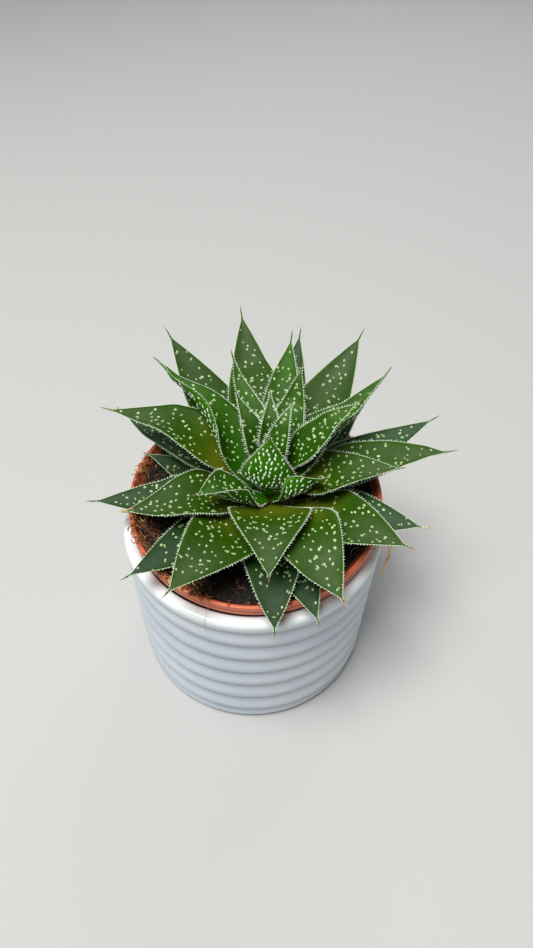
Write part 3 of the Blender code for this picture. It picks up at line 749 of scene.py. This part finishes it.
def compass(azimuth):
    turn = math.radians(azimuth)
    return Vector((math.cos(turn), math.sin(turn), 0.0))


def crown_radius(height):
    if height > CROWN_TOP:
        return CROWN_TOP_RADIUS * 0.3
    return CROWN_RADIUS + (CROWN_TOP_RADIUS - CROWN_RADIUS) * height / CROWN_TOP


def blade_share(share, shoulder):
    """The blade's width at a share of its length, as a share of its greatest width."""
    if share < shoulder:
        return BASE_WIDTH + (1.0 - BASE_WIDTH) * math.sin(share / shoulder * math.pi / 2) ** 1.4
    left = max(0.0, (1.0 - share - AWN) / (1.0 - shoulder - AWN))
    return 1.0 - (1.0 - left) ** TAPER


def blade_thickness(share, length):
    full = 1.3 * MM + 0.028 * length
    swell = math.sin(math.pi * min(1.0, share * 1.2 + 0.05))
    return max(0.8 * MM, full * (0.25 + 0.75 * max(0.0, swell)) * min(1.0, (1.02 - share) * 2.2))


def midrib(leaf, rank, steps):
    """Frames along the midrib: (point, along, across, lift), in the plant's frame."""
    azimuth, reach, height, rise, _, _, roll, root_turn, _ = leaf
    level = FIRST_LEAF + LEAF_STEP * (rank - 1)
    root = compass(azimuth + root_turn) * (crown_radius(level) + ROOT_GAP) + UP * level
    tip = compass(azimuth) * reach * MM + UP * height * MM
    out = Vector((tip.x - root.x, tip.y - root.y, 0.0)).normalized()
    if out.dot(compass(azimuth)) < 0.0:
        out.negate()
    across = UP.cross(out)
    slope = math.radians(rise)
    knee = root + (out * math.cos(slope) + UP * math.sin(slope)) * (tip - root).length * KNEE
    frames = []
    for step in range(steps + 1):
        share = step / steps
        point = root.lerp(knee, share).lerp(knee.lerp(tip, share), share)
        along = (knee - root).lerp(tip - knee, share).normalized()
        spin = Matrix.Rotation(math.radians(roll * min(1.0, 2.0 * share)), 3, along)
        frames.append((point, along, spin @ across, spin @ along.cross(across)))
    return frames


def underside(side, hollow, thick):
    """How far the underside stands over the midrib, at a side from -1 to 1: a keel between two cheeks."""
    cheek = hollow * 0.4 - thick * 0.75
    if abs(side) < CHEEK:
        return -thick + (cheek + thick) * abs(side) / CHEEK
    share = (abs(side) - CHEEK) / (1.0 - CHEEK)
    return cheek + (hollow - cheek) * share


def height_over(below, point, push, look_up):
    """How far the surfaces below stand over a point, the way it is pushed, or None if none is near."""
    start = point - push * LOOK_DOWN
    reach = LOOK_DOWN + look_up
    highest = None
    travelled = 0.0
    while travelled < reach:
        hit, _, _, distance = below.ray_cast(start + push * travelled, push, reach - travelled)
        if hit is None:
            break
        travelled += distance + 0.01 * MM
        highest = travelled - LOOK_DOWN
    return highest


def bend_clear(frames, halves, hollows, thicks, below, spacing):
    """Pushes a leaf up and in just clear of what lies under it, easing off along its length."""
    needed = []
    pushes = []
    for step, (station, half, hollow, thick) in enumerate(zip(frames, halves, hollows, thicks)):
        point, _, across, lift = station
        push = (UP + lift * min(1.0, 3.0 * step / len(frames))).normalized()
        pushes.append(push)
        inward = Vector((-point.x, -point.y, 0.0))
        closing = push.dot(inward.normalized())
        look_up = LOOK_UP if closing <= 0.0 else min(LOOK_UP, inward.length / closing)
        most = 0.0
        for side in SIDES:
            inside = max(-1.0, min(1.0, side))
            reach = side * half if abs(side) <= 1.0 else inside * (half + TOOTH_LENGTH)
            probe = point + across * reach + lift * underside(inside, hollow, thick)
            over = height_over(below, probe, push, look_up)
            if over is not None:
                most = max(most, over + LEAF_GAP)
        needed.append(most)
    moved = []
    for here, (point, along, across, lift) in enumerate(frames):
        rise = max(need - BEND_SLOPE * spacing * max(0, abs(here - there) - FINE)
                   for there, need in enumerate(needed))
        moved.append((point + pushes[here] * max(0.0, rise), along, across, lift))
    return moved


def smooth_between(values, at):
    """A smooth curve through evenly spaced vectors, at a place counted in steps."""
    last = len(values) - 1
    index = min(int(at), last - 1)
    share = at - index
    before = values[max(0, index - 1)]
    start = values[index]
    end = values[index + 1]
    after = values[min(last, index + 2)]
    pull = (end - before) * 0.5
    push = (after - start) * 0.5
    if index == 0:
        pull = end - start
    if index == last - 1:
        push = end - start
    square = share * share
    cube = square * share
    return (start * (2 * cube - 3 * square + 1) + pull * (cube - 2 * square + share)
            + end * (3 * square - 2 * cube) + push * (cube - square))


UPPER_DISH = 1.75
UNDER_DISH = 1.53
KEEL = 2.3


class Blade:
    """A leaf's finer form: any point of its skin, by its share of the length and its side from -1 to 1."""

    def __init__(self, leaf, rank, below):
        self.length = math.hypot(leaf[1], leaf[2]) * MM
        self.widest = leaf[4] * MM
        self.shoulder = leaf[5] / 100
        self.cup = leaf[8] / 100
        self.spans = max(5, round(self.length / SPAN))
        steps = self.spans * FINE
        frames = midrib(leaf, rank, steps)
        shares = [step / steps for step in range(steps + 1)]
        halves = [self.half(share) for share in shares]
        hollows = [self.hollow(share) for share in shares]
        thicks = [blade_thickness(share, self.length) for share in shares]
        frames = bend_clear(frames, halves, hollows, thicks, below, self.length / steps)
        knots = frames[::FINE]
        self.lines = [[PLANT @ knot[0] for knot in knots]] + [
            [PLANT.to_3x3() @ knot[axis] for knot in knots] for axis in (2, 3)]

    def half(self, share):
        return max(AWN_WIDTH, self.widest * blade_share(share, self.shoulder)) / 2

    def pointed_half(self, share):
        """The half width, with the awn drawn out to a point."""
        full = self.widest * blade_share(share, self.shoulder) / 2
        awn = AWN_WIDTH / 2 * min(1.0, (1.0 - share) / AWN * 1.2 + 0.08)
        return max(full, awn)

    def hollow(self, share):
        return self.cup * self.half(share) * min(1.0, share / self.shoulder)

    def station(self, share):
        """The midrib at a share of the length, with the ways across the blade and up from it."""
        at = share * self.spans
        point, across, lift = (smooth_between(line, at) for line in self.lines)
        return point, across.normalized(), lift.normalized()

    def skin(self, share, side, under):
        """A point of the upper or lower skin, and the way out of it."""
        point, across, lift = self.station(share)
        half = self.pointed_half(share)
        hollow = self.hollow(share)
        dish = UNDER_DISH if under else UPPER_DISH
        rise = hollow * abs(side) ** dish
        slope = hollow * dish * abs(side) ** 0.6
        if under:
            thick = blade_thickness(share, self.length) * min(1.0, (1.0 - share) * 12.0 + 0.12)
            rise -= thick * (1.0 - abs(side) ** KEEL)
            slope += thick * KEEL * abs(side) ** (KEEL - 1.0)
        tilt = math.copysign(slope / half, side) if side else 0.0
        normal = (lift - across * tilt).normalized()
        return point + across * (side * half) + lift * rise, -normal if under else normal

    def forward(self, point, share, side, under, step):
        """The way along the skin towards the tip, from a point of it."""
        return (self.skin(min(1.0, share + step), side, under)[0] - point).normalized()


BLADE_STEP = 1.15 * MM
BLADE_COLUMNS = 15
CRUMPLE = 1.3 * MM


def green_blade(shape, blade, dry_from):
    """The closed blade: upper skin from margin to margin and back under the keel, then its dry end."""
    stations = max(34, round(blade.length / BLADE_STEP))
    level = [1.0 - 2.0 * column / (BLADE_COLUMNS - 1) for column in range(BLADE_COLUMNS)]
    upper = [math.copysign(abs(side) ** 0.85, side) for side in level]
    under = [-side for side in upper[1:-1]]
    ring = len(upper) + len(under)
    points = []
    rows = []
    for step in range(stations + 1):
        share = step / stations
        share -= 0.035 * math.sin(2 * math.pi * share)
        rows.append(share)
        points.extend(blade.skin(share, side, False)[0] for side in upper)
        points.extend(blade.skin(share, side, True)[0] for side in under)
    faces = []
    slots = []
    for step in range(stations):
        near = step * ring
        far = near + ring
        for column in range(ring):
            after = (column + 1) % ring
            faces.append((near + column, near + after, far + after, far + column))
            patch = noise.noise(points[near + column] * 700.0) * 0.05
            slots.append(DRY_SKIN if rows[step] + patch > dry_from else GREEN_SKIN)
    faces.append(tuple(reversed(range(ring))))
    faces.append(tuple(stations * ring + column for column in range(ring)))
    slots += [GREEN_SKIN, DRY_SKIN if dry_from < 1.0 else GREEN_SKIN]
    for index, point in enumerate(points):
        shrunk = rows[index // ring] - dry_from
        if shrunk > 0.0:
            crumple = Vector([noise.noise(point * 450.0 + UP * apart) for apart in (0.0, 9.0, 18.0)])
            points[index] = point + crumple * min(1.0, shrunk * 12.0) * CRUMPLE
    round_blade = [0.98 * column / (BLADE_COLUMNS - 1) for column in range(BLADE_COLUMNS)]
    round_blade += [1.02 + 0.96 * (column + 1) / BLADE_COLUMNS for column in range(len(under))]
    shape.add(points, faces, [(u, v) for v in rows for u in round_blade], slots)


# The teeth are soft white spikes close together along a margin: the gaps between them in millimetres, the
# shares of the length where they start and end, and how long they are on the heart and on the outer leaves.
TOOTH_GAPS = (1.1, 1.8)
TOOTH_SPREAD = (0.05, 0.955)
HEART_TEETH = 1.25
OUTER_TEETH = 0.95


def margin_line(shape, blade, side):
    """The pale rim of one margin."""
    steps = max(24, round(blade.length / (2.0 * MM)))
    path = [blade.skin(0.02 + 0.93 * step / steps, side, False)[0] for step in range(steps + 1)]
    rod(shape, path, [0.14 * MM] * len(path), 4, MARGIN_LINE)


def tooth(shape, blade, share, side, longer, draw):
    """One tooth of a margin: a four-sided spike that leans forward, and shorter towards root and tip."""
    _, across, lift = blade.station(share)
    edge, _ = blade.skin(share, side, False)
    along = blade.forward(edge, share, side, False, 0.02)
    out = (across * side + lift * draw.uniform(-0.15, 0.35)).normalized()
    fade = 0.5 + 0.5 * math.sin(math.pi * min(1.0, share * 1.1) ** 0.8)
    size = TOOTH_LENGTH * draw.uniform(0.85, 1.35) * fade * longer
    wide = draw.uniform(0.22, 0.36) * MM
    lean = out * 0.95 + along * draw.uniform(0.0, 0.45)
    over = out.cross(along)
    base = edge - out * 0.15 * MM
    middle = base + lean * size * 0.5
    points = []
    for centre, long, deep in ((base, wide, wide * 0.8), (middle, wide * 0.55, wide * 0.4)):
        points += [centre + along * long, centre + over * deep, centre - along * long, centre - over * deep]
    points.append(base + lean * size + along * size * 0.18)
    faces = [(3, 2, 1, 0)]
    for corner in range(4):
        after = (corner + 1) % 4
        faces.append((corner, after, 4 + after, 4 + corner))
        faces.append((4 + corner, 4 + after, 8))
    shape.add(points, faces, None, TEETH)


def toothed_margins(shape, blade, longer, draw):
    """Both margins of a leaf, each with its pale line and its teeth."""
    for side in (1.0, -1.0):
        margin_line(shape, blade, side)
        share, end = TOOTH_SPREAD
        while share < end:
            tooth(shape, blade, share, side, longer, draw)
            share += draw.uniform(*TOOTH_GAPS) * MM / blade.length


# How the spots lie: the gaps in millimetres between rows and between spots in a row, how loosely they keep
# to them, the share of places left bare, a spot's length and width for its size, and how far it slants
# outwards. The outer leaves are nearly bare on top near the root.
UPPER_SPOTS = {"row": 3.4, "gap": 2.9, "loose": 1.0, "bare": 0.36, "long": 1.25, "wide": 0.95, "slant": 0.15}
HEART_SPOTS = {**UPPER_SPOTS, "row": 3.1, "gap": 2.7}
UNDER_SPOTS = {"row": 2.6, "gap": 2.1, "loose": 0.5, "bare": 0.12, "long": 1.45, "wide": 0.72, "slant": 0.55}
BARE_ROOT = 0.3
BARE_ROOT_SHARE = 0.9
SPOT_SIZES = (0.9, 1.6)
SPOT_SIDES = 7
SPOT_HEIGHT = 0.2 * MM
TWIN_HEIGHT = 0.17 * MM
TWIN_SHARE = 0.3


def raised_spot(shape, blade, share, side, under, long, wide, high, slant):
    """One low dome on the skin, a little longer than wide."""
    centre, normal = blade.skin(share, side, under)
    along = blade.forward(centre, share, side, under, 0.01)
    across = normal.cross(along).normalized()
    along = along * math.cos(slant) + across * math.sin(slant)
    across = normal.cross(along).normalized()
    points = []
    for reach, rise in ((1.0, -0.12), (0.78, 0.62)):
        for corner in range(SPOT_SIDES):
            turn = 2 * math.pi * corner / SPOT_SIDES
            points.append(centre + along * (math.cos(turn) * long * reach / 2)
                          + across * (math.sin(turn) * wide * reach / 2) + normal * (high * rise))
    points.append(centre + normal * high)
    faces = []
    for corner in range(SPOT_SIDES):
        after = (corner + 1) % SPOT_SIDES
        faces.append((corner, after, SPOT_SIDES + after, SPOT_SIDES + corner))
        faces.append((SPOT_SIDES + corner, SPOT_SIDES + after, 2 * SPOT_SIDES))
    faces.append(tuple(reversed(range(SPOT_SIDES))))
    shape.add(points, faces, None, UNDER_SPOT if under else UPPER_SPOT)


def spot_row(shape, blade, share, under, lay, bare, draw):
    """One short bowed row of spots. On top some of them have a smaller twin beside them."""
    half = blade.half(share)
    many = int(2 * half * 0.88 / (lay["gap"] * MM))
    shift = draw.uniform(-0.5, 0.5)
    for index in range(many):
        if draw.random() < bare:
            continue
        side = ((index + 0.5 + shift + draw.uniform(-0.25, 0.25) * lay["loose"]) / many * 2 - 1) * 0.9
        if abs(side) > 0.9:
            continue
        bow = -0.05 * side * side * (half / (12 * MM))
        at = share + bow + draw.uniform(-0.45, 0.45) * lay["loose"] * (lay["row"] * MM) / blade.length
        if not 0.06 < at < 0.945:
            continue
        size = draw.uniform(*SPOT_SIZES) * (0.72 + 0.28 * math.sin(math.pi * at))
        long = size * lay["long"] * MM
        wide = size * lay["wide"] * MM
        slant = -side * lay["slant"] + draw.uniform(-0.5, 0.5)
        raised_spot(shape, blade, at, side, under, long, wide, SPOT_HEIGHT, slant)
        if not under and draw.random() < TWIN_SHARE:
            beside = side + draw.choice((-1.0, 1.0)) * wide * 0.75 / half
            if abs(beside) < 0.88:
                nudge = at + draw.uniform(-0.5, 0.5) * long / blade.length
                raised_spot(shape, blade, nudge, beside, under, long * 0.7, wide * 0.8, TWIN_HEIGHT, slant)


def spots(shape, blade, heart, draw):
    """Spots lie in rows across a leaf: sparse and rounder on top, closer, longer and whiter underneath."""
    for under, lay in ((False, HEART_SPOTS if heart else UPPER_SPOTS), (True, UNDER_SPOTS)):
        share = 0.14
        while share < 0.93:
            near_root = not under and not heart and share < BARE_ROOT
            spot_row(shape, blade, share, under, lay, BARE_ROOT_SHARE if near_root else lay["bare"], draw)
            share += lay["row"] * MM / blade.length


def dry_shreds(shape, blade, side, start, end, many, longest, draw):
    """Tan curls of dried skin along a stretch of a leaf."""
    for _ in range(many):
        root, _ = blade.skin(draw.uniform(start, end), side + draw.uniform(-0.03, 0.0), False)
        reach = Vector((draw.uniform(-1.0, 1.0), draw.uniform(-1.0, 1.0), draw.uniform(-0.6, 0.6)))
        reach *= longest * MM
        curl = Vector([draw.uniform(-1.0, 1.0) for _ in range(3)]) * 0.4 * MM
        thick = draw.uniform(0.12, 0.3) * MM
        rod(shape, [root, root + reach * 0.5 + curl, root + reach], [thick, thick, thick * 0.4], 4, DRY_SKIN)


below_points = []
below_faces = []
to_plant = PLANT.inverted()


def lay_under(name):
    """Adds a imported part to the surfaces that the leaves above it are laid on."""
    start = len(below_points)
    mesh = parts[name].data
    below_points.extend(to_plant @ vertex.co for vertex in mesh.vertices)
    below_faces.extend([start + corner for corner in face.vertices] for face in mesh.polygons)


# The leaves whose ends have dried, and the share of the length from which they have.
DRY_ENDS = {5: 0.955, 15: 0.97, 16: 0.93, 11: 0.95}
NO_DRY_END = 2.0
# Where shrivelled skin curls off a leaf: the side, the shares of the length between which it does, how many
# curls there are, and how long the longest is in millimetres.
DRY_SHREDS = {16: (-0.6, 0.88, 0.97, 26, 1.6), 15: (0.97, 0.74, 0.95, 12, 0.8), 5: (0.0, 0.95, 0.99, 5, 0.8)}

lay_under("nursery_pot")
lay_under("soil")
draw = random.Random(29)
for rank, leaf in enumerate(LEAVES, start=1):
    part_name = f"leaf_{rank:02d}"
    heart = rank > SPREADING_LEAVES
    green = "leaf_inner" if heart else "leaf_lower" if rank <= LOWER_LEAVES else "leaf_spreading"
    blade = Blade(leaf, rank, BVHTree.FromPolygons(below_points, below_faces))
    lay_under(part_name)
    shape = Shape()
    green_blade(shape, blade, DRY_ENDS.get(rank, NO_DRY_END))
    toothed_margins(shape, blade, HEART_TEETH if heart else OUTER_TEETH, draw)
    spots(shape, blade, heart, draw)
    if rank in DRY_SHREDS:
        dry_shreds(shape, blade, *DRY_SHREDS[rank], draw)
    show(f"blade_{rank:02d}", shape, [leaf_skins[green], *pale_skins], green, part_name)


# The studio: a plain pale floor, a broad soft light above and in front on the left, a weak one behind on the
# right, and the camera at the photograph's viewing angle, looking down at the plant from close by.
FLOOR_TONE = (190, 190, 187)
FLOOR_REACH = 6.0
LIT_POINT = (0.0, 0.0, 0.1)

floor_finish, _, shader = new_material("studio_floor", Roughness=0.8)
shader.inputs["Base Color"].default_value = srgb(*FLOOR_TONE)
floor_mesh = bpy.data.meshes.new("studio_floor")
corners = [(x * FLOOR_REACH, y * FLOOR_REACH, 0.0) for x, y in ((-1, -1), (1, -1), (1, 1), (-1, 1))]
floor_mesh.from_pydata(corners, [], [(0, 1, 2, 3)])
floor_mesh.materials.append(floor_finish)
floor = bpy.data.objects.new("studio_floor", floor_mesh)
bpy.context.scene.collection.objects.link(floor)


def soft_light(name, place, size, power, colour):
    lamp = bpy.data.lights.new(name, "AREA")
    lamp.size = size
    lamp.energy = power
    lamp.color = colour
    item = bpy.data.objects.new(name, lamp)
    item.location = place
    item.rotation_euler = (Vector(LIT_POINT) - Vector(place)).to_track_quat("-Z", "Y").to_euler()
    bpy.context.scene.collection.objects.link(item)


soft_light("key_light", (-0.5, -0.5, 2.15), 1.1, 62.0, (1.0, 0.995, 0.98))
soft_light("back_light", (0.5, 1.7, 1.3), 1.2, 8.0, (0.97, 0.99, 1.0))
bpy.context.scene.view_settings.view_transform = "Standard"
world = bpy.data.worlds.new("studio")
bpy.context.scene.world = world
world.use_nodes = True
world.node_tree.nodes["Background"].inputs["Color"].default_value = (0.86, 0.9, 0.96, 1.0)
world.node_tree.nodes["Background"].inputs["Strength"].default_value = 0.22

ELEVATION = math.radians(44.93)
ROLL = math.radians(1.31)
TARGET = Vector((5.9 * MM, 0.0, 118.5 * MM))
DISTANCE = 311.4 * MM
FOCAL_PIXELS = 684.0
PHOTO_HEIGHT = 948.0
SENSOR_HEIGHT = 36.0
back = Vector((0.0, -math.cos(ELEVATION), math.sin(ELEVATION)))
level_up = Vector((0.0, math.sin(ELEVATION), math.cos(ELEVATION)))
right = Vector((math.cos(ROLL), 0.0, 0.0)) + level_up * math.sin(ROLL)
upward = Vector((-math.sin(ROLL), 0.0, 0.0)) + level_up * math.cos(ROLL)
eye = TARGET + back * DISTANCE
camera_data = bpy.data.cameras.new("camera")
camera_data.sensor_fit = "VERTICAL"
camera_data.sensor_height = SENSOR_HEIGHT
camera_data.lens = SENSOR_HEIGHT * FOCAL_PIXELS / PHOTO_HEIGHT
camera = bpy.data.objects.new("camera", camera_data)
camera.matrix_world = Matrix((
    (right.x, upward.x, back.x, eye.x),
    (right.y, upward.y, back.y, eye.y),
    (right.z, upward.z, back.z, eye.z),
    (0.0, 0.0, 0.0, 1.0),
))
bpy.context.scene.collection.objects.link(camera)
bpy.context.scene.camera = camera
